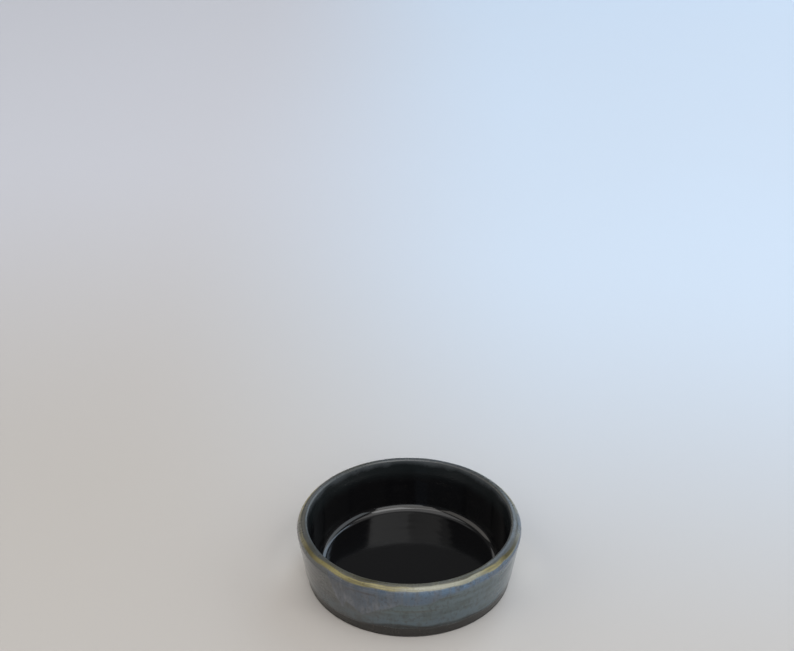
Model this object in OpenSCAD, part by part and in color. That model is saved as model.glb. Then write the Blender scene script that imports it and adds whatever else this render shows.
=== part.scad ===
// Coaster: a round stoneware dish, thrown and trimmed, with three fired glaze coats.
// Origin at the centre of the foot, on the table. Z is up. Millimetres.

/* [Dish] */
// Outer diameter of the glazed dish at its shoulder, where it is widest
rim_d = 118; // [90:0.5:160]
// Height from the table to the crown of the glazed lip
dish_h = 34.6; // [26:0.1:60]
// How far the wall leans out on each side, from the foot to the shoulder
flare_w = 5; // [1:0.1:9]

/* [Clay wall and floor] */
// Thickness of the clay wall at the foot, beside the cove
heel_t = 4.5; // [3:0.25:9]
// Thickness of the clay floor above the hollow of the foot
floor_t = 3.6; // [2.5:0.1:6]
// Radius of the cove between the floor and the wall
cove_r = 5; // [2:0.25:7]

/* [Lip] */
// Width of the clay lip, from the shoulder to its inner edge
lip_w = 4.7; // [3.2:0.1:6]
// Height of the clay lip above the shoulder
lip_h = 4.2; // [3.2:0.1:7]
// Radius of the clay along the crown of the lip, at its inner edge
crown_r = 0.8; // [0.5:0.05:1.4]

/* [Foot] */
// Width of the foot ring that stands on the table
foot_ring_w = 7; // [3:0.25:14]
// Depth of the trimmed hollow inside the foot ring
hollow_h = 1.2; // [0.5:0.1:2.5]
// Width of the bevel trimmed on each edge of the foot ring
bevel_w = 0.3; // [0.2:0.05:1]
// Height of the bevel on the outer edge of the foot
bevel_h = 0.8; // [0.4:0.1:2]

/* [Glaze] */
// Thickness of a fired glaze coat
glaze_t = 0.4; // [0.2:0.05:1]
// Height of the bare clay band between the table and the glaze line
bare_h = 6; // [3:0.25:10]
// Share of the turn of the lip's roll, from the shoulder to the crown, below the rim coat
rim_out_share = 0.13; // [0:0.01:0.6]
// Share of the turn of the lip's crown, from the roll to the inner wall, under the rim coat
rim_in_share = 0.8; // [0.5:0.01:0.95]

/* [Hidden] */
// Facets of a full turn
$fn = 180;
// Turn between two points of an arc in the section, in degrees
arc_step = 5;

// The section is drawn in the half plane [radius, height], on the bare clay.
// Shoulder of the clay: outer radius and height
shoulder_r = rim_d / 2 - glaze_t;
shoulder_z = dish_h - glaze_t - lip_h;
// Outer radius of the foot on the table, and of the flat floor inside
foot_r = shoulder_r - flare_w;
seat_r = foot_r - heel_t - cove_r;
// Floor of the clay, under its glaze
floor_z = hollow_h + floor_t;
// Corner between the outer bevel of the foot and the wall
heel = [foot_r + bevel_w, bevel_h];

// The lip is a broad arc that rolls in from the shoulder, and the small arc of the crown at its inner edge.
crown_rise = lip_h - crown_r;
crown_reach = lip_w - 2 * crown_r;
roll_r = crown_r + (pow(crown_rise, 2) + pow(crown_reach, 2)) / (2 * crown_reach);
roll_c = [shoulder_r - roll_r, shoulder_z];
crown_c = [shoulder_r - lip_w + crown_r, shoulder_z + crown_rise];
// Angle at which the roll turns into the crown
crown_a = atan2(crown_rise, crown_c.x - roll_c.x);

// Centre of the cove, which is tangent to the floor and to the inner wall
cove_c = [seat_r, floor_z + cove_r];

// Lean of the outer wall: the line from the heel that is tangent to the roll of the lip
outer_reach = [heel.x - roll_c.x, roll_c.y - heel.y];
outer_lean = atan2(outer_reach.y, outer_reach.x) - acos(roll_r / norm(outer_reach));
// Lean of the inner wall: the line tangent to the crown of the lip and to the cove
inner_reach = crown_c - cove_c;
inner_lean = acos((crown_r + cove_r) / norm(inner_reach)) - atan2(inner_reach.y, inner_reach.x);
// Angle on the crown at which the inner wall begins
inner_a = 180 - inner_lean;

// Angles on the roll and on the crown at which the rim coat meets the other two coats
rim_out_a = rim_out_share * crown_a;
rim_in_a = crown_a + rim_in_share * (inner_a - crown_a);

// Unit vector at an angle in the section
function heading(a) = [cos(a), sin(a)];
// Points of an arc from angle a to angle b. A negative radius draws the far side, as a hollow has.
function arc(c, r, a, b) =
    let (n = ceil(abs(b - a) / arc_step))
    [for (i = [0 : n]) c + r * heading(a + (b - a) * i / n)];
function reversed(points) = [for (i = [len(points) - 1 : -1 : 0]) points[i]];

// Faces of the section, each moved out from the clay by a coat of thickness t
function shoulder_face(t) = arc(roll_c, roll_r + t, -outer_lean, rim_out_a);
function rim_face(t) = concat(
    arc(roll_c, roll_r + t, rim_out_a, crown_a),
    arc(crown_c, crown_r + t, crown_a, rim_in_a)
);
function well_face(t) = concat(
    arc(crown_c, crown_r + t, rim_in_a, inner_a),
    arc(cove_c, t - cove_r, inner_a, 90),
    [[0, floor_z + t]]
);
// Point of the clay's outer wall at a height
function wall_point(z) = heel + (z - heel.y) / cos(outer_lean) * heading(90 - outer_lean);

// Solid of revolution of a coat between a face on the clay and the same face moved out
module coat(clay_face, glazed_face) {
    rotate_extrude() polygon(concat(glazed_face, reversed(clay_face)));
}

// The fired clay: hollow foot, floor, leaning wall and rounded lip
module stoneware_body() {
    ring_r = foot_r - foot_ring_w;
    foot = [
        [0, hollow_h],
        [ring_r - bevel_w, hollow_h],
        [ring_r, 0],
        [foot_r, 0],
        heel
    ];
    color("#4a4139")
        rotate_extrude()
            polygon(concat(foot, shoulder_face(0), rim_face(0), well_face(0)));
}

// Glossy black coat on the floor and the inside of the wall
module liner_glaze() {
    color("#121214") coat(well_face(0), well_face(glaze_t));
}

// Coat over the lip, where the liner and the outer glaze overlap and break to amber
module rim_glaze() {
    color("#9a9468") coat(rim_face(0), rim_face(glaze_t));
}

// Blue-grey coat on the outside of the wall, with a round edge at the glaze line
module outer_glaze() {
    edge_c = wall_point(bare_h) + glaze_t * heading(90 - outer_lean);
    edge = arc(edge_c, glaze_t, -90 - outer_lean, -outer_lean);
    color("#5f6c72") coat(shoulder_face(0), concat(edge, shoulder_face(glaze_t)));
}

stoneware_body();
liner_glaze();
rim_glaze();
outer_glaze();
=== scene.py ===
import math

import bpy
import numpy as np
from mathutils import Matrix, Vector


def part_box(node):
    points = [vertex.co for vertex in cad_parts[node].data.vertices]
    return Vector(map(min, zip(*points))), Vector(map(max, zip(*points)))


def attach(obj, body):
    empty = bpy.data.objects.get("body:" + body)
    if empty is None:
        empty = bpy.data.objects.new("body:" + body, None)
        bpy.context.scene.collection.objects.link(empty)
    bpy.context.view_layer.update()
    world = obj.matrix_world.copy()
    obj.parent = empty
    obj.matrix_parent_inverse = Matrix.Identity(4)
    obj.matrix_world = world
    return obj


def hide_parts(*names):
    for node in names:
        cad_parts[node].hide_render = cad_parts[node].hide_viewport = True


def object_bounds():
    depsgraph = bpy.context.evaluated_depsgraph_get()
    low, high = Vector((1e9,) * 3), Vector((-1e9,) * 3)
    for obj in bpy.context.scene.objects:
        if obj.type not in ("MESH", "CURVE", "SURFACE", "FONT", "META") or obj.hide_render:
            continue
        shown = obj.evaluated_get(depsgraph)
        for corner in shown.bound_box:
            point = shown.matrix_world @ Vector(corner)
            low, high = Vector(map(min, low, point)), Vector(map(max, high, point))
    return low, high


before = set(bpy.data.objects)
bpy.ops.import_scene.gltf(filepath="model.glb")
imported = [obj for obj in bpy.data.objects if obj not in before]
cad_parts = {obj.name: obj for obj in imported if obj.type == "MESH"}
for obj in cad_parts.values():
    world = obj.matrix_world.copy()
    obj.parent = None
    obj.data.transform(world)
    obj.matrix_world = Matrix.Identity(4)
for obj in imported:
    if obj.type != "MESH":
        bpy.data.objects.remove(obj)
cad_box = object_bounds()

# Sizes in millimetres. The outer ones and the floor come from the frame.
MM = 0.001
rim_r = cad_box[1].x / MM
dish_h = cad_box[1].z / MM
bare_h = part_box("outer_glaze")[0].z / MM
floor_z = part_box("liner_glaze")[0].z / MM
glaze_t = 0.4
heel_t = 4.5
flare_w = 5.0
cove_r = 5.0
lip_w = 4.7
lip_h = 4.2
crown_r = 0.8
foot_ring_w = 7.0
hollow_h = 1.2
bevel_w = 0.3
bevel_h = 0.8
rim_out_share = 0.13
rim_in_share = 0.8

# Vertices round the dish, spacing of a section's points, and how far a coat's back is sunk into the clay
STEPS = 480
SPACING = 0.02
SUNK = 0.02

# Section of the bare clay, in the half plane of radius and height
shoulder_r = rim_r - glaze_t
shoulder_z = dish_h - glaze_t - lip_h
foot_r = shoulder_r - flare_w
ring_r = foot_r - foot_ring_w
seat_r = foot_r - heel_t - cove_r
heel = np.array([foot_r + bevel_w, bevel_h])

# The lip: a broad roll from the shoulder, and the small arc of the crown at its inner edge
crown_rise = lip_h - crown_r
crown_reach = lip_w - 2 * crown_r
roll_r = crown_r + (crown_rise ** 2 + crown_reach ** 2) / (2 * crown_reach)
roll_c = np.array([shoulder_r - roll_r, shoulder_z])
crown_c = np.array([shoulder_r - lip_w + crown_r, shoulder_z + crown_rise])
crown_a = math.atan2(crown_rise, crown_c[0] - roll_c[0])
cove_c = np.array([seat_r, floor_z + cove_r])

# Leans of the two walls, which are tangent to the lip, and the edges of the rim coat
outer_reach = np.array([heel[0] - roll_c[0], roll_c[1] - heel[1]])
outer_slope = math.atan2(outer_reach[1], outer_reach[0])
outer_lean = outer_slope - math.acos(roll_r / np.hypot(*outer_reach))
inner_reach = crown_c - cove_c
inner_slope = math.atan2(inner_reach[1], inner_reach[0])
inner_lean = math.acos((crown_r + cove_r) / np.hypot(*inner_reach)) - inner_slope
inner_a = math.pi - inner_lean
rim_out_a = rim_out_share * crown_a
rim_in_a = crown_a + rim_in_share * (inner_a - crown_a)


# Stretches of the section, each as points and outward normals
def heading(a):
    return np.array([math.cos(a), math.sin(a)])


def arc(centre, radius, start, end, hollow=False):
    a = np.linspace(start, end, max(3, int(abs(end - start) * radius / SPACING)))
    normals = np.stack([np.cos(a), np.sin(a)], 1)
    return centre + (-radius if hollow else radius) * normals, normals


def line(start, end):
    run = end - start
    length = np.hypot(*run)
    share = np.linspace(0, 1, max(3, int(length / SPACING)))[:, None]
    normal = np.array([run[1], -run[0]]) / length
    return start + share * run, np.repeat(normal[None], len(share), 0)


class Outline:
    """A run of stretches, read by the distance s along it."""

    def __init__(self, *stretches):
        points = np.concatenate([p for p, n in stretches])
        self.normals = np.concatenate([n for p, n in stretches])
        steps = np.hypot(*np.diff(points, axis=0).T)
        self.s = np.concatenate([[0], np.cumsum(np.maximum(steps, 1e-9))])
        self.points = points
        ends = np.cumsum([len(p) for p, n in stretches]) - 1
        self.ends = self.s[ends]

    def at(self, s):
        r, z = (np.interp(s, self.s, self.points[:, i]) for i in (0, 1))
        nr, nz = (np.interp(s, self.s, self.normals[:, i]) for i in (0, 1))
        return r, z, nr, nz


wall_top = roll_c + roll_r * heading(-outer_lean)
well_top = crown_c + crown_r * heading(inner_a)
well_low = cove_c - cove_r * heading(inner_a)
glazed = Outline(
    line(heel, wall_top),
    arc(roll_c, roll_r, -outer_lean, rim_out_a),
    arc(roll_c, roll_r, rim_out_a, crown_a),
    arc(crown_c, crown_r, crown_a, rim_in_a),
    arc(crown_c, crown_r, rim_in_a, inner_a),
    line(well_top, well_low),
    arc(cove_c, cove_r, inner_a, math.pi / 2, hollow=True),
    line(np.array([seat_r, floor_z]), np.array([0.0, floor_z])),
)
S_SHOULDER, S_RIM_OUT, S_CROWN, S_RIM_IN, S_WELL, S_COVE, S_SEAT, S_AXIS = glazed.ends
S_LINE = (bare_h - heel[1]) / math.cos(outer_lean)

theta = np.arange(STEPS) * 2 * math.pi / STEPS
degrees = (np.degrees(theta) + 180) % 360 - 180


# Small fields round the dish and along its section. Angle 0 is the front, and it grows to the right.
def turn(centre):
    return (degrees - centre + 180) % 360 - 180


def hump(x, width):
    return np.exp(-(x / width) ** 2)


def rise(x, low, high):
    share = np.clip((x - low) / (high - low), 0, 1)
    return share * share * (3 - 2 * share)


def spots(*places):
    """Soft spots round the dish, each with its angle, width and strength, up to 1."""
    return np.minimum(sum(strength * hump(turn(angle), width) for angle, width, strength in places), 1)


def swing(turns, seed):
    """A seeded sum of whole waves round the dish, about -1 to 1."""
    phases = np.random.default_rng(seed).uniform(0, 2 * math.pi, len(turns))
    return sum(np.cos(m * theta + p) for m, p in zip(turns, phases)) / math.sqrt(len(turns))


def ripple(s, seed, terms, turns, length):
    """A seeded sum of waves round the dish and along the section, about -1 to 1."""
    rng = np.random.default_rng(seed)
    total = 0
    for _ in range(terms):
        m = rng.integers(turns[0], turns[1] + 1)
        q = 2 * math.pi / rng.uniform(*length) * rng.choice([-1, 1])
        total = total + np.cos(m * theta + q * s + rng.uniform(0, 2 * math.pi))
    return total / math.sqrt(terms)


# Lower edge of the rim glaze that ran over the wall: angle round the dish in degrees, height in mm
RAN_TO = [
    (-172, 25.0), (-163, 18.5), (-157, 22.0), (-150, 26.5), (-140, 21.0), (-128, 23.5), (-118, 27.5),
    (-112, 20.0), (-106, 24.0), (-95, 27.5), (-82, 31.0), (-62, 33.5), (-44, 32.5), (-40, 18.0),
    (-36, 13.0), (-33.5, 18.5), (-30, 16.5), (-25, 12.8), (-21, 15.0), (-15, 18.5), (-9, 21.5),
    (-4, 25.0), (-1, 23.6), (4, 23.3), (10, 24.3), (16, 27.2), (24, 28.6), (36, 29.4), (48, 28.2),
    (60, 27.0), (75, 26.0), (84, 23.0), (92, 25.5), (103, 18.5), (109, 23.0), (117, 26.5), (126, 22.0),
    (134, 23.0), (142, 26.5), (150, 18.0), (156, 22.0), (165, 25.5), (178, 23.5),
]
dip_edge = np.interp(degrees, [a for a, z in RAN_TO], [z for a, z in RAN_TO], period=360)
dip_edge = dip_edge + 0.30 * swing((17, 23, 31), 5)
glaze_edge = S_LINE - 0.1 + 0.30 * swing((2, 5, 9), 6) + 0.25 * swing((14, 21, 26), 7)
glaze_edge = glaze_edge + 0.8 * hump(turn(-4), 13) - 0.5 * hump(turn(-42), 14)

# Sides of the dish, by angle, on which the glazes differ
dark_reach = 0.2 + 1.8 * hump(turn(-6), 8) + 1.3 * hump(turn(18), 20) + 0.8 * hump(turn(140), 30)
blue_side = np.clip(rise(turn(-5), -36, 12) * (1 - rise(turn(-5), 85, 130)) + hump(turn(-140), 35), 0, 1)
neutral_side = rise(turn(-60), -60, -35) * (1 - rise(turn(-60), 36, 54)) + 0.7 * hump(turn(150), 30)
# At left and right the glaze is made paler, most on the left: a painted sheen for the glaze's grazing
# reflection of the floor.
side_share = rise(np.abs(turn(0)), 56, 74) * (1 - rise(np.abs(turn(0)), 95, 130))
painted_side_sheen = np.where(turn(0) < 0, 0.42, 0.08) * side_share
band_drop = 0.08 * rise(np.abs(turn(-5)), 35, 55) + 0.03 * swing((3, 7, 11), 4)
band_drop = band_drop + 0.06 * rise(turn(0), 34, 52) * (1 - rise(turn(0), 80, 100))
band_drop = band_drop + 0.04 * hump(turn(-39), 10) + 0.03 * hump(turn(-20), 14)
amber_side = np.clip(rise(-turn(6), 0, 18) + 0.75 * rise(turn(12), 6, 45), 0, 1)
olive_side = spots((-140, 20, 0.5), (-62, 11, 0.88), (-46, 7, 0.35), (145, 20, 0.5))
olive_right = spots((65, 13, 1.25))
break_share = 1 - 0.9 * hump(turn(88), 15) - 0.8 * hump(turn(-84), 13) - 0.4 * hump(turn(175), 14)
scorched_side = spots(
    (-145, 15, 0.7), (-88, 15, 0.6), (-62, 5, 0.5), (-43, 7, 0.35), (-22, 9, 1.0),
    (34, 10, 0.75), (88, 15, 0.6), (125, 15, 0.7))


# Relief of the fired coats: the round edge at the glaze line, the glaze that ran, the rings and the waves
EDGE_W = 0.7
EDGE_ROLL = 0.20
RAN_T = 0.10
RAN_ROLL = 0.06
RING_PITCH = 3.3
RING_T = 0.012
WALL_WAVE = 0.03
LIP_WAVE = 0.035
LIP_THIN = 0.04
WELL_PITCH = 5.2
WELL_RING_T = 0.007
WELL_WAVE = 0.016
SEAT_PITCH = 9.0
SEAT_SPIRAL_T = 0.0015


def coat_height(s):
    """Thickness of the fired coats over the whole glazed outline."""
    z = glazed.at(s)[1]
    outside = 1 - rise(s, S_SHOULDER + 1, S_CROWN)
    inside = rise(s, S_RIM_IN, S_RIM_IN + 3)
    below = s - glaze_edge
    edge = np.clip(below / EDGE_W, 0, 1)
    t = glaze_t * np.sqrt(1 - (1 - edge) ** 2)
    t = t + EDGE_ROLL * hump(below - 1.0, 0.8) * (0.7 + 0.3 * swing((6, 13, 19), 8))
    dip = rise(z - dip_edge, -0.8, 1.2) * outside
    t = t + RAN_T * dip + RAN_ROLL * hump(z - dip_edge - 0.8, 0.9) * outside
    # Throwing rings outside climb one pitch a turn.
    rings = np.cos(theta + 2 * math.pi * s / RING_PITCH + 0.7 * swing((2, 3, 5), 9))
    t = t + edge * outside * (RING_T * rings + WALL_WAVE * ripple(s, 10, 10, (2, 9), (9, 26)))
    # The lip is wiped, so its coat is thin and uneven.
    lip = rise(s, S_SHOULDER, S_RIM_OUT + 1) * (1 - rise(s, S_RIM_IN - 0.5, S_RIM_IN + 2.5))
    t = t + lip * (LIP_WAVE * ripple(s, 11, 12, (3, 22), (4, 16)) - LIP_THIN)
    # Throwing rings inside, and the finger spiral on the floor
    well = inside * (1 - rise(s, S_COVE - 2, S_SEAT))
    t = t + well * WELL_RING_T * np.cos(theta + 2 * math.pi * s / WELL_PITCH + 0.6 * swing((2, 4, 5), 12))
    uneven = inside * (1 - rise(s, S_COVE - 1, S_SEAT))
    t = t + uneven * WELL_WAVE * ripple(s, 13, 10, (2, 8), (8, 24))
    seat = rise(s, S_SEAT - 1, S_SEAT + 5) * (1 - rise(s, S_AXIS - 6, S_AXIS - 1))
    t = t + seat * SEAT_SPIRAL_T * np.cos(theta - 2 * math.pi * s / SEAT_PITCH)
    return t


# Meshes
out_of_round = 0.10 * np.cos(2 * theta + 0.7) + 0.05 * np.cos(3 * theta + 2.1)
lip_wave = 0.08 * np.cos(2 * theta + 1.9) + 0.04 * np.cos(5 * theta + 0.4)


def ring(r, z):
    """One ring of vertices in metres, with the dish's slight lack of truth."""
    share = np.clip(z / dish_h, 0, 1)
    r = r + out_of_round * share * np.clip(r / seat_r, 0, 1)
    z = z + lip_wave * share ** 3
    return np.stack([r * np.sin(theta), -r * np.cos(theta), z], 1) * MM


def point(z):
    return np.array([[0, 0, z]]) * MM


def coat_ring(s, sunk=False):
    r, z, nr, nz = glazed.at(s)
    t = -SUNK if sunk else coat_height(s)
    return ring(r + nr * t, z + nz * t)


def skin(name, rows, marks, loop):
    """A closed mesh through rings and end points, with one value per ring and vertex for each mark."""
    starts = np.cumsum([0] + [len(row) for row in rows])
    pairs = [(i, i + 1) for i in range(len(rows) - 1)]
    if loop:
        pairs.append((len(rows) - 1, 0))
    here = np.arange(STEPS)
    ahead = (here + 1) % STEPS
    faces = []
    for i, j in pairs:
        a, b = starts[i], starts[j]
        if len(rows[i]) > 1 and len(rows[j]) > 1:
            faces += np.stack([a + here, a + ahead, b + ahead, b + here], 1).tolist()
        elif len(rows[i]) > 1:
            faces += np.stack([a + here, a + ahead, 0 * here + b], 1).tolist()
        elif len(rows[j]) > 1:
            faces += np.stack([0 * here + a, b + ahead, b + here], 1).tolist()
    mesh = bpy.data.meshes.new(name)
    mesh.from_pydata(np.concatenate(rows).tolist(), [], faces)
    for mark, values in marks.items():
        spread = [np.broadcast_to(v, len(row)) for v, row in zip(values, rows)]
        layer = mesh.attributes.new(mark, "FLOAT", "POINT")
        layer.data.foreach_set("value", np.concatenate(spread).astype(np.float32))
    mesh.shade_smooth()
    mesh.set_sharp_from_angle(angle=math.radians(50))
    piece = bpy.data.objects.new(name, mesh)
    bpy.context.collection.objects.link(piece)
    return piece


def marks_on(s, z):
    """What the shaders need to know of a place on the outside and the lip."""
    above = z - dip_edge
    across = (s - S_RIM_OUT) / (S_RIM_IN - S_RIM_OUT) + band_drop
    pooled = spots((-150, 50, 1.0), (12, 38, 1.0))
    return {
        "along": s * MM,
        "dip": rise(above, -1.0, 1.4),
        "pale": np.maximum(
            0.8 * rise(above, -0.8, 1.0) * (1 - rise(above, 2.5, 9)) * (1 - rise(z, 22, 26)),
            hump(turn(-36.3), 0.9) * rise(z, 12, 14) * (1 - rise(z, 19, 24))),
        "blue": 0.62 * blue_side + 0.38 * hump(turn(25), 17) * rise(z, 28, 31),
        "scorch": hump(z - 29.0 - 0.03 * turn(-23), 0.7) * hump(turn(-23), 9)
        + 0.5 * hump(z - 26.0, 0.9) * hump(turn(110), 16),
        "low": hump(z - 10.5, 3.4) * (0.35 + 0.65 * pooled),
        "neutral": neutral_side,
        "painted_sheen": painted_side_sheen,
        "thin": 1 - rise(s - glaze_edge, 0.3 + dark_reach, 1.9 + 1.3 * dark_reach),
        "across": across,
        "amber": amber_side,
        "olive": np.maximum(olive_side, olive_right * rise(across, 0.26, 0.40)),
        "cool": rise(np.abs(turn(0)), 36, 62),
        "breaks": break_share,
        "scorched": scorched_side,
    }


def coat(name, runs, back):
    rows = [coat_ring(s) for s in runs]
    found = [marks_on(s, glazed.at(s)[1]) for s in runs]
    rows += [coat_ring(s, sunk=True) for s in back]
    found += [marks_on(s, glazed.at(s)[1]) for s in back]
    return skin(name, rows, {mark: [f[mark] for f in found] for mark in found[0]}, loop=True)


def outer_glaze():
    share = np.linspace(0, 1, 112) ** 1.6
    runs = [glaze_edge + (S_RIM_OUT - glaze_edge) * v for v in share]
    back = [glaze_edge + (S_RIM_OUT - glaze_edge) * v for v in (1, 0.95, 0.9, 0.7, 0.45, 0.2, 0)]
    return coat("outer_glaze_coat", runs, back)


def rim_glaze():
    runs = np.linspace(S_RIM_OUT, S_RIM_IN, 76)
    return coat("rim_glaze_coat", runs, runs[::-4])


def liner_glaze():
    wall = np.linspace(S_RIM_IN, S_COVE, 68)
    cove = np.linspace(S_COVE, S_SEAT, 38)[1:]
    seat = np.linspace(S_SEAT, S_AXIS, 60)[1:-1]
    runs = np.concatenate([wall, cove, seat])
    back = np.concatenate([wall[::6], cove[::4], seat[::8]])[::-1]
    rows = [coat_ring(s) for s in runs]
    rows += [point(floor_z + glaze_t), point(floor_z - SUNK)]
    rows += [coat_ring(s, sunk=True) for s in back]
    depth = [s - S_RIM_IN for s in runs] + [S_AXIS - S_RIM_IN] * 2 + [s - S_RIM_IN for s in back]
    return skin("liner_glaze_coat", rows, {"depth": depth}, loop=True)


# Relief of the bare clay: the spiral underneath and the trimming lines on the wall
SPIRAL_PITCH = 2.6
SPIRAL_T = 0.05
SPIRAL_ROUGH = 0.02
TRIM_PITCH = 0.9
TRIM_T = 0.022
TRIM_ROUGH = 0.018
TRIM_SUNK = 0.02
TRIM_SPACING = 0.16


def stoneware_body():
    rows = [point(hollow_h)]
    rng = np.random.default_rng(21)
    # Underside, with the spiral left by the trimming tool
    for r in np.linspace(0.8, ring_r - bevel_w - 0.4, 56):
        cut = SPIRAL_T * np.cos(theta + 2 * math.pi * r / SPIRAL_PITCH) + SPIRAL_ROUGH * rng.uniform(-1, 1)
        rows.append(ring(r, hollow_h + cut * rise(r, 0, 4) * (1 - rise(r, ring_r - 4, ring_r - 1))))
    # Foot ring, from the hollow to the outer bevel: radius and height
    foot = [
        (ring_r - bevel_w, hollow_h), (ring_r - 0.35, hollow_h - 0.3), (ring_r - 0.15, 0.35),
        (ring_r, 0.1), (ring_r + 0.25, 0.0), (ring_r + 1.5, 0.0), (foot_r - 2.5, 0.0), (foot_r - 0.4, 0.0),
        (foot_r - 0.1, 0.04), (foot_r + 0.1, 0.15), (foot_r + 0.22, 0.35), (foot_r + 0.4, 0.75),
    ]
    for r, z in foot:
        rows.append(ring(r, z))
    # Bare wall, with fine trimming lines
    for s in np.arange(0.1, S_LINE + 3, TRIM_SPACING):
        r, z, nr, nz = glazed.at(s)
        cut = TRIM_T * np.cos(2 * math.pi * s / TRIM_PITCH + theta) + TRIM_ROUGH * rng.uniform(-1, 1)
        cut = (cut - TRIM_SUNK) * (1 - rise(s, S_LINE + 1.5, S_LINE + 2.6))
        rows.append(ring(r + nr * cut, z + nz * cut))
    # Clay under the coats
    hidden = np.concatenate([
        np.linspace(S_LINE + 4, S_SHOULDER, 8),
        np.linspace(S_SHOULDER, S_WELL, 40)[1:],
        np.linspace(S_WELL, S_COVE, 8)[1:],
        np.linspace(S_COVE, S_SEAT, 14)[1:],
        np.linspace(S_SEAT, S_AXIS, 8)[1:-1],
    ])
    for s in hidden:
        r, z, nr, nz = glazed.at(s)
        rows.append(ring(r, z))
    rows.append(point(floor_z))
    return skin("stoneware_dish", rows, {}, loop=False)


# Materials, and the refractive index of them all
IOR = 1.6


class Nodes:
    """A material in the making. Noise is laid out in the piece's own coordinates."""

    def __init__(self, name):
        self.material = bpy.data.materials.new(name)
        self.material.use_nodes = True
        self.tree = self.material.node_tree
        self.shader = self.tree.nodes["Principled BSDF"]
        self.own = self.new("TexCoord").outputs["Object"]

    def new(self, kind):
        return self.tree.nodes.new("ShaderNode" + kind)

    def put(self, value, socket):
        """Links another socket, or sets a colour or a number."""
        if isinstance(value, bpy.types.NodeSocket):
            self.tree.links.new(value, socket)
        elif isinstance(value, tuple):
            socket.default_value = (*value, 1)
        else:
            socket.default_value = value

    def mark(self, name):
        """A value that the mesh carries at each vertex."""
        node = self.new("Attribute")
        node.attribute_name = name
        return node.outputs["Fac"]

    def noise(self, across, up, detail=3.0, shift=0.0, place=None):
        """Noise with cells of 1 / across m level and 1 / up m upright, about 0 to 1."""
        scaled = self.new("Mapping")
        scaled.inputs["Location"].default_value = (shift, shift * 0.7, shift * 1.3)
        scaled.inputs["Scale"].default_value = (across, across, up)
        self.put(place or self.own, scaled.inputs["Vector"])
        node = self.new("TexNoise")
        node.inputs["Scale"].default_value = 1.0
        node.inputs["Detail"].default_value = detail
        self.put(scaled.outputs["Vector"], node.inputs["Vector"])
        return node.outputs["Fac"]

    def axes(self):
        node = self.new("SeparateXYZ")
        self.put(self.own, node.inputs["Vector"])
        return node.outputs

    def on_the_lip(self):
        """Coordinates whose upright axis follows the section over the lip."""
        node = self.new("CombineXYZ")
        for name in "XY":
            self.put(self.axes()[name], node.inputs[name])
        self.put(self.mark("along"), node.inputs["Z"])
        return node.outputs["Vector"]

    def calc(self, operation, a, b):
        """One step of arithmetic."""
        node = self.new("Math")
        node.operation = operation
        self.put(a, node.inputs[0])
        self.put(b, node.inputs[1])
        return node.outputs[0]

    def between(self, value, low, high, to_low=0.0, to_high=1.0):
        """The value, eased from the range of low to high into that of to_low to to_high."""
        node = self.new("MapRange")
        node.interpolation_type = "SMOOTHSTEP"
        self.put(value, node.inputs["Value"])
        ends = {"From Min": low, "From Max": high, "To Min": to_low, "To Max": to_high}
        for socket, number in ends.items():
            node.inputs[socket].default_value = number
        return node.outputs["Result"]

    def mix(self, share, a, b):
        """Colour a, with a share of colour b."""
        node = self.new("Mix")
        node.data_type = "RGBA"
        self.put(share, node.inputs[0])
        self.put(a, node.inputs[6])
        self.put(b, node.inputs[7])
        return node.outputs[2]

    def bump(self, height, strength, distance):
        node = self.new("Bump")
        node.inputs["Strength"].default_value = strength
        node.inputs["Distance"].default_value = distance
        self.put(height, node.inputs["Height"])
        self.put(node.outputs["Normal"], self.shader.inputs["Normal"])

    def surface(self, colour, roughness):
        self.put(colour, self.shader.inputs["Base Color"])
        self.put(roughness, self.shader.inputs["Roughness"])
        self.shader.inputs["IOR"].default_value = IOR
        return self.material


CREAM = (0.280, 0.280, 0.219)
AMBER = (0.250, 0.216, 0.084)
OLIVE = (0.060, 0.050, 0.016)


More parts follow.
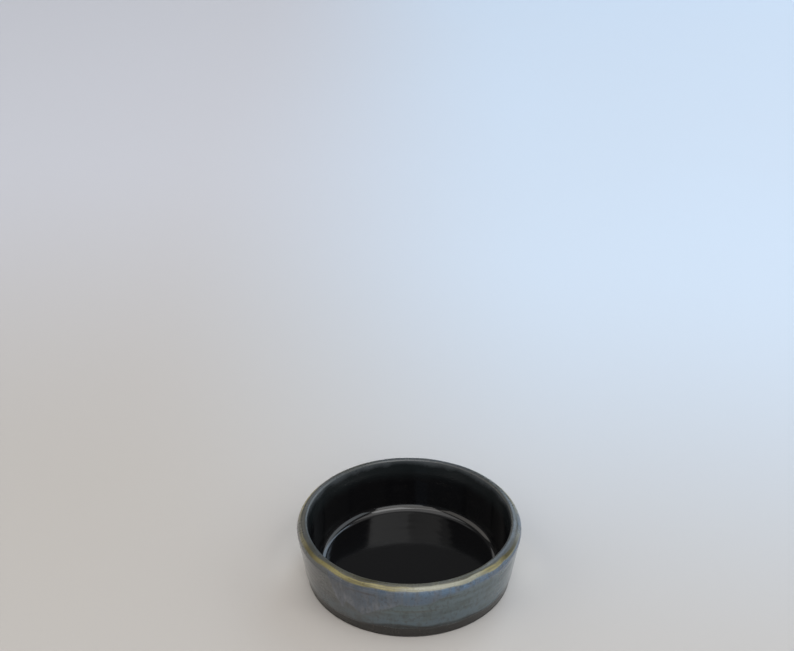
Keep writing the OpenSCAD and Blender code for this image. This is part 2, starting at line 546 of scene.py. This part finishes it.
def wall_glaze(n):
    """Colour of the wall: a grey ground, and the rim glaze that ran over it, lavender to blue."""
    streaks = n.noise(16, 380, 4, 1.0)
    mottle = n.noise(150, 150, 4, 2.0)
    cells = n.noise(620, 380, 2, 16.0)
    runs = n.noise(420, 38, 3, 4.0)
    brushed = n.noise(20, 400, 2, 19.0)
    # Streaked and mottled ground, blue-grey, and neutral on one side
    colour = n.mix(n.between(streaks, 0.3, 0.7), (0.055, 0.076, 0.083), (0.095, 0.131, 0.143))
    colour = n.mix(n.between(mottle, 0.38, 0.66, 0.0, 0.6), colour, (0.088, 0.118, 0.132))
    colour = n.mix(n.between(mottle, 0.48, 0.30, 0.0, 0.6), colour, (0.058, 0.072, 0.067))
    plain = n.mix(n.between(streaks, 0.3, 0.7), (0.048, 0.052, 0.052), (0.086, 0.091, 0.091))
    plain = n.mix(n.between(mottle, 0.35, 0.65, 0.0, 0.45), plain, (0.080, 0.084, 0.086))
    colour = n.mix(n.mark("neutral"), colour, plain)
    # Level olive streaks, and glaze that pooled above the glaze line
    colour = n.mix(n.between(brushed, 0.50, 0.72, 0.0, 0.60), colour, (0.062, 0.062, 0.049))
    low = n.calc("MULTIPLY", n.mark("low"), n.between(mottle, 0.3, 0.6, 0.4, 1.0))
    colour = n.mix(low, colour, (0.066, 0.095, 0.115))
    # The rim glaze that ran, with its pale edge and a scorched streak
    ran = n.mix(n.mark("blue"), (0.060, 0.069, 0.085), (0.082, 0.136, 0.208))
    ran = n.mix(n.between(runs, 0.42, 0.66, 0.0, 0.5), ran, (0.108, 0.114, 0.127))
    over = n.calc("MULTIPLY", n.mark("dip"), n.between(mottle, 0.25, 0.5, 0.55, 0.95))
    colour = n.mix(over, colour, ran)
    pale = n.calc("MULTIPLY", n.mark("pale"), n.between(runs, 0.3, 0.65, 0.15, 0.75))
    colour = n.mix(pale, colour, (0.148, 0.160, 0.180))
    scorch = n.calc("MULTIPLY", n.mark("scorch"), n.between(mottle, 0.35, 0.65, 0.3, 0.9))
    colour = n.mix(scorch, colour, (0.044, 0.040, 0.046))
    # Painted sheen: the glaze is made paler at left and right, standing in for its grazing reflection of
    # the floor; and fine dark cells over all
    colour = n.mix(n.mark("painted_sheen"), colour, (0.200, 0.196, 0.190))
    return n.mix(n.between(cells, 0.46, 0.72, 0.0, 0.5), colour, (0.042, 0.046, 0.047))


def breaking_glaze(n, place):
    """Colour of the glaze where it breaks over the edge of the lip."""
    grain = n.noise(800, 800, 3, 3.0)
    lines = n.noise(45, 1000, 3, 17.0, place)
    patches = n.noise(60, 200, 3, 8.0)
    tone = n.calc("ADD", n.mark("amber"), n.between(patches, 0.35, 0.65, -0.25, 0.25))
    colour = n.mix(n.between(tone, 0.1, 0.9), CREAM, AMBER)
    flecks = n.between(grain, 0.45, 0.75, 0.0, 0.5)
    flecks = n.calc("MAXIMUM", flecks, n.between(lines, 0.46, 0.64, 0.0, 0.7))
    dark = n.calc("MULTIPLY", flecks, n.between(tone, 0.0, 0.9, 0.35, 1.0))
    return n.mix(n.calc("MAXIMUM", dark, n.mark("olive")), colour, OLIVE)


def blue_grey_glaze():
    n = Nodes("blue_grey_glaze")
    mottle = n.noise(150, 150, 4, 2.0)
    fine = n.noise(900, 900, 3, 5.0)
    colour = wall_glaze(n)
    # Thin dark edge at the glaze line
    edge = n.calc("MULTIPLY", n.mark("thin"), n.between(mottle, 0.3, 0.65, 0.7, 1.0))
    colour = n.mix(edge, colour, (0.012, 0.013, 0.013))
    # Pinholes and iron specks
    colour = n.mix(n.between(fine, 0.68, 0.76, 0.0, 0.5), colour, (0.035, 0.032, 0.028))
    n.bump(mottle, 0.05, 0.0003)
    return n.surface(colour, n.between(mottle, 0.3, 0.7, 0.11, 0.21))


def amber_grey_glaze():
    n = Nodes("amber_grey_glaze")
    place = n.on_the_lip()
    wander = n.noise(75, 75, 4, 6.0)
    mottle = n.noise(240, 240, 4, 7.0)
    lines = n.noise(60, 1300, 3, 18.0, place)
    fine = n.noise(900, 900, 3, 9.0)
    across = n.calc("ADD", n.mark("across"), n.between(wander, 0.3, 0.7, -0.05, 0.05))
    # The wall's glaze, then the band where it breaks, then the grey crown
    colour = wall_glaze(n)
    band = n.calc("MULTIPLY", n.between(across, 0.24, 0.36), n.mark("breaks"))
    colour = n.mix(band, colour, breaking_glaze(n, place))
    grey = n.mix(n.mark("cool"), (0.086, 0.085, 0.067), (0.050, 0.057, 0.064))
    stains = n.between(mottle, 0.4, 0.65, 0.0, 0.6)
    stains = n.calc("MAXIMUM", stains, n.between(lines, 0.48, 0.66, 0.0, 0.6))
    crown = n.mix(stains, grey, (0.045, 0.047, 0.042))
    colour = n.mix(n.between(across, 0.58, 0.69), colour, crown)
    scorched = n.calc("MULTIPLY", n.between(across, 0.59, 0.65), n.between(across, 0.80, 0.95, 0.95, 0.5))
    colour = n.mix(n.calc("MULTIPLY", scorched, n.mark("scorched")), colour, (0.036, 0.032, 0.013))
    colour = n.mix(n.between(fine, 0.66, 0.74, 0.0, 0.5), colour, (0.035, 0.032, 0.022))
    # The olive patches are dry and shine less.
    dry = n.calc("MULTIPLY", band, n.between(across, 0.58, 0.69, 1.0, 0.5))
    dry = n.calc("MULTIPLY", n.mark("olive"), dry)
    n.put(n.between(dry, 0.0, 1.0, 0.5, 0.12), n.shader.inputs["Specular IOR Level"])
    n.bump(mottle, 0.05, 0.0002)
    return n.surface(colour, n.between(mottle, 0.3, 0.7, 0.24, 0.36))


def black_glaze():
    n = Nodes("black_glaze")
    mottle = n.noise(120, 60, 4, 10.0)
    fine = n.noise(700, 700, 3, 11.0)
    depth = n.calc("ADD", n.mark("depth"), n.between(mottle, 0.3, 0.7, -0.7, 0.7))
    # Grey from the lip thins out over the first few millimetres.
    colour = n.mix(n.between(depth, -0.3, 3.2), (0.064, 0.071, 0.077), (0.010, 0.0125, 0.0135))
    colour = n.mix(n.between(depth, 4.0, 12.0), colour, (0.0035, 0.0035, 0.004))
    colour = n.mix(n.between(fine, 0.62, 0.72, 0.0, 0.6), colour, (0.010, 0.009, 0.008))
    n.bump(mottle, 0.03, 0.0004)
    return n.surface(colour, n.between(depth, 0.0, 7.0, 0.18, 0.09))


def stoneware():
    n = Nodes("stoneware")
    lines = n.noise(10, 1400, 3, 12.0)
    mottle = n.noise(110, 160, 4, 13.0)
    grog = n.noise(1500, 1500, 2, 14.0)
    colour = n.mix(n.between(mottle, 0.3, 0.7), (0.0036, 0.0029, 0.0021), (0.0080, 0.0066, 0.0050))
    colour = n.mix(n.between(lines, 0.5, 0.7, 0.0, 0.6), colour, (0.016, 0.0138, 0.0108))
    colour = n.mix(n.between(grog, 0.64, 0.72, 0.0, 0.8), colour, (0.105, 0.090, 0.072))
    colour = n.mix(n.between(grog, 0.36, 0.28, 0.0, 0.8), colour, (0.010, 0.009, 0.008))
    n.bump(n.calc("ADD", grog, lines), 0.10, 0.0003)
    return n.surface(colour, n.between(mottle, 0.3, 0.7, 0.18, 0.28))


PIECES = (
    (stoneware_body, stoneware, "stoneware_body", "stoneware"),
    (liner_glaze, black_glaze, "liner_glaze", "black_glaze"),
    (rim_glaze, amber_grey_glaze, "rim_glaze", "amber_grey_glaze"),
    (outer_glaze, blue_grey_glaze, "outer_glaze", "blue_grey_glaze"),
)
for shape, look, node, slot in PIECES:
    piece = shape()
    piece.data.materials.append(look())
    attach(piece, "root")
    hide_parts(node)

# Pale floor in metres, wide enough to fill the picture. It is paler close round the dish, at the back and
# most on the left: painted light that lifts the dish's shadow on the floor there.
FLOOR_HALF = 5.0
PAINTED_LIGHT_IN = 0.055
PAINTED_LIGHT_OUT = 0.079
floor_mesh = bpy.data.meshes.new("floor")
corners = [(-1, -1), (1, -1), (1, 1), (-1, 1)]
floor_mesh.from_pydata([(x * FLOOR_HALF, y * FLOOR_HALF, 0) for x, y in corners], [], [(0, 1, 2, 3)])
floor = bpy.data.objects.new("floor", floor_mesh)
bpy.context.collection.objects.link(floor)
paper = Nodes("floor_paper")
side, far = (paper.axes()[name] for name in "XY")
away = paper.calc("ADD", far, paper.calc("MULTIPLY", side, 0.25))
# The tint is painted light: warm and darker at the front, paler and blue towards the back and right, where
# the cool daylight falls.
WARM = (0.490, 0.456, 0.424)
LEFT_BACK = (0.590, 0.590, 0.635)
RIGHT_BACK = (0.612, 0.715, 0.850)
left = paper.mix(paper.between(far, 0.05, 0.60), WARM, LEFT_BACK)
right = paper.mix(paper.between(away, -0.15, 0.42), WARM, RIGHT_BACK)
tint = paper.mix(paper.between(side, -0.20, 0.12), left, right)
cloud = paper.between(paper.noise(3, 3, 2, 15.0), 0.3, 0.7, 0.0, 0.06)
tint = paper.mix(cloud, tint, (0.560, 0.560, 0.560))
reach = paper.calc("ADD", paper.calc("MULTIPLY", side, side), paper.calc("MULTIPLY", far, far))
reach = paper.calc("POWER", reach, 0.5)
# Painted light round the dish, fading out in front and weaker on the right, to lift the dish's shadow.
painted_light_beside = paper.between(reach, PAINTED_LIGHT_IN, PAINTED_LIGHT_OUT, 1.0, 0.0)
painted_light_beside = paper.calc("MULTIPLY", painted_light_beside, paper.between(far, -0.032, 0.006))
painted_light_beside = paper.calc("MULTIPLY", painted_light_beside, paper.between(side, -0.06, 0.06, 1.0, 0.55))
tint = paper.mix(painted_light_beside, tint, (0.775, 0.745, 0.712))
floor_mesh.materials.append(paper.surface(tint, 0.8))


# Soft light panels, by direction from the dish: angle from the front to the right, and height, in degrees
def panel(name, angle, height, distance, size, radiance, colour):
    lamp = bpy.data.lights.new(name, "AREA")
    lamp.shape = "RECTANGLE"
    lamp.size, lamp.size_y = size
    lamp.energy = radiance * math.pi * size[0] * size[1]
    lamp.color = colour
    holder = bpy.data.objects.new(name, lamp)
    a, e = math.radians(angle), math.radians(height)
    towards = Vector((math.sin(a) * math.cos(e), -math.cos(a) * math.cos(e), math.sin(e)))
    holder.location = towards * distance
    holder.rotation_euler = towards.to_track_quat("Z", "Y").to_euler()
    holder.visible_camera = False
    bpy.context.collection.objects.link(holder)


panel("front_upper", 5, 50, 2.6, (3.2, 2.0), 1.4, (1.0, 0.98, 0.95))
panel("front_low", 12, 22, 2.6, (2.6, 1.1), 1.2, (0.96, 0.98, 1.0))
panel("front_right", 34, 62, 2.5, (1.4, 1.2), 1.5, (0.97, 0.99, 1.0))
panel("right_side", 98, 24, 2.6, (4.0, 2.2), 1.25, (0.86, 0.94, 1.0))
panel("back_right", 153, 36, 2.6, (1.0, 2.0), 2.4, (0.66, 0.82, 1.0))
panel("back_left", -156, 27, 2.6, (1.2, 0.9), 0.8, (1.0, 0.98, 0.97))
panel("left_side", -85, 28, 2.6, (3.4, 2.2), 0.9, (1.0, 0.95, 0.88))
panel("overhead", 0, 84, 4.0, (4.6, 3.8), 1.1, (1.0, 0.99, 0.98))

world = bpy.data.worlds.new("studio")
bpy.context.scene.world = world
world.use_nodes = True
world.node_tree.nodes["Background"].inputs["Color"].default_value = (0.10, 0.10, 0.10, 1)

# Camera, aimed a little left of the dish and above it. Its tilt is below the level, in degrees.
CAMERA_PLACE = (0.0, -0.6200, 0.4942)
CAMERA_TILT = 29.031
CAMERA_TURN = 0.584
camera_data = bpy.data.cameras.new("camera")
camera_data.sensor_width = 36.0
camera_data.lens = 66.0
camera = bpy.data.objects.new("camera", camera_data)
camera.location = CAMERA_PLACE
camera.rotation_euler = (math.radians(90 - CAMERA_TILT), 0.0, math.radians(CAMERA_TURN))
bpy.context.collection.objects.link(camera)
bpy.context.scene.camera = camera
bpy.context.scene.view_settings.view_transform = "Standard"
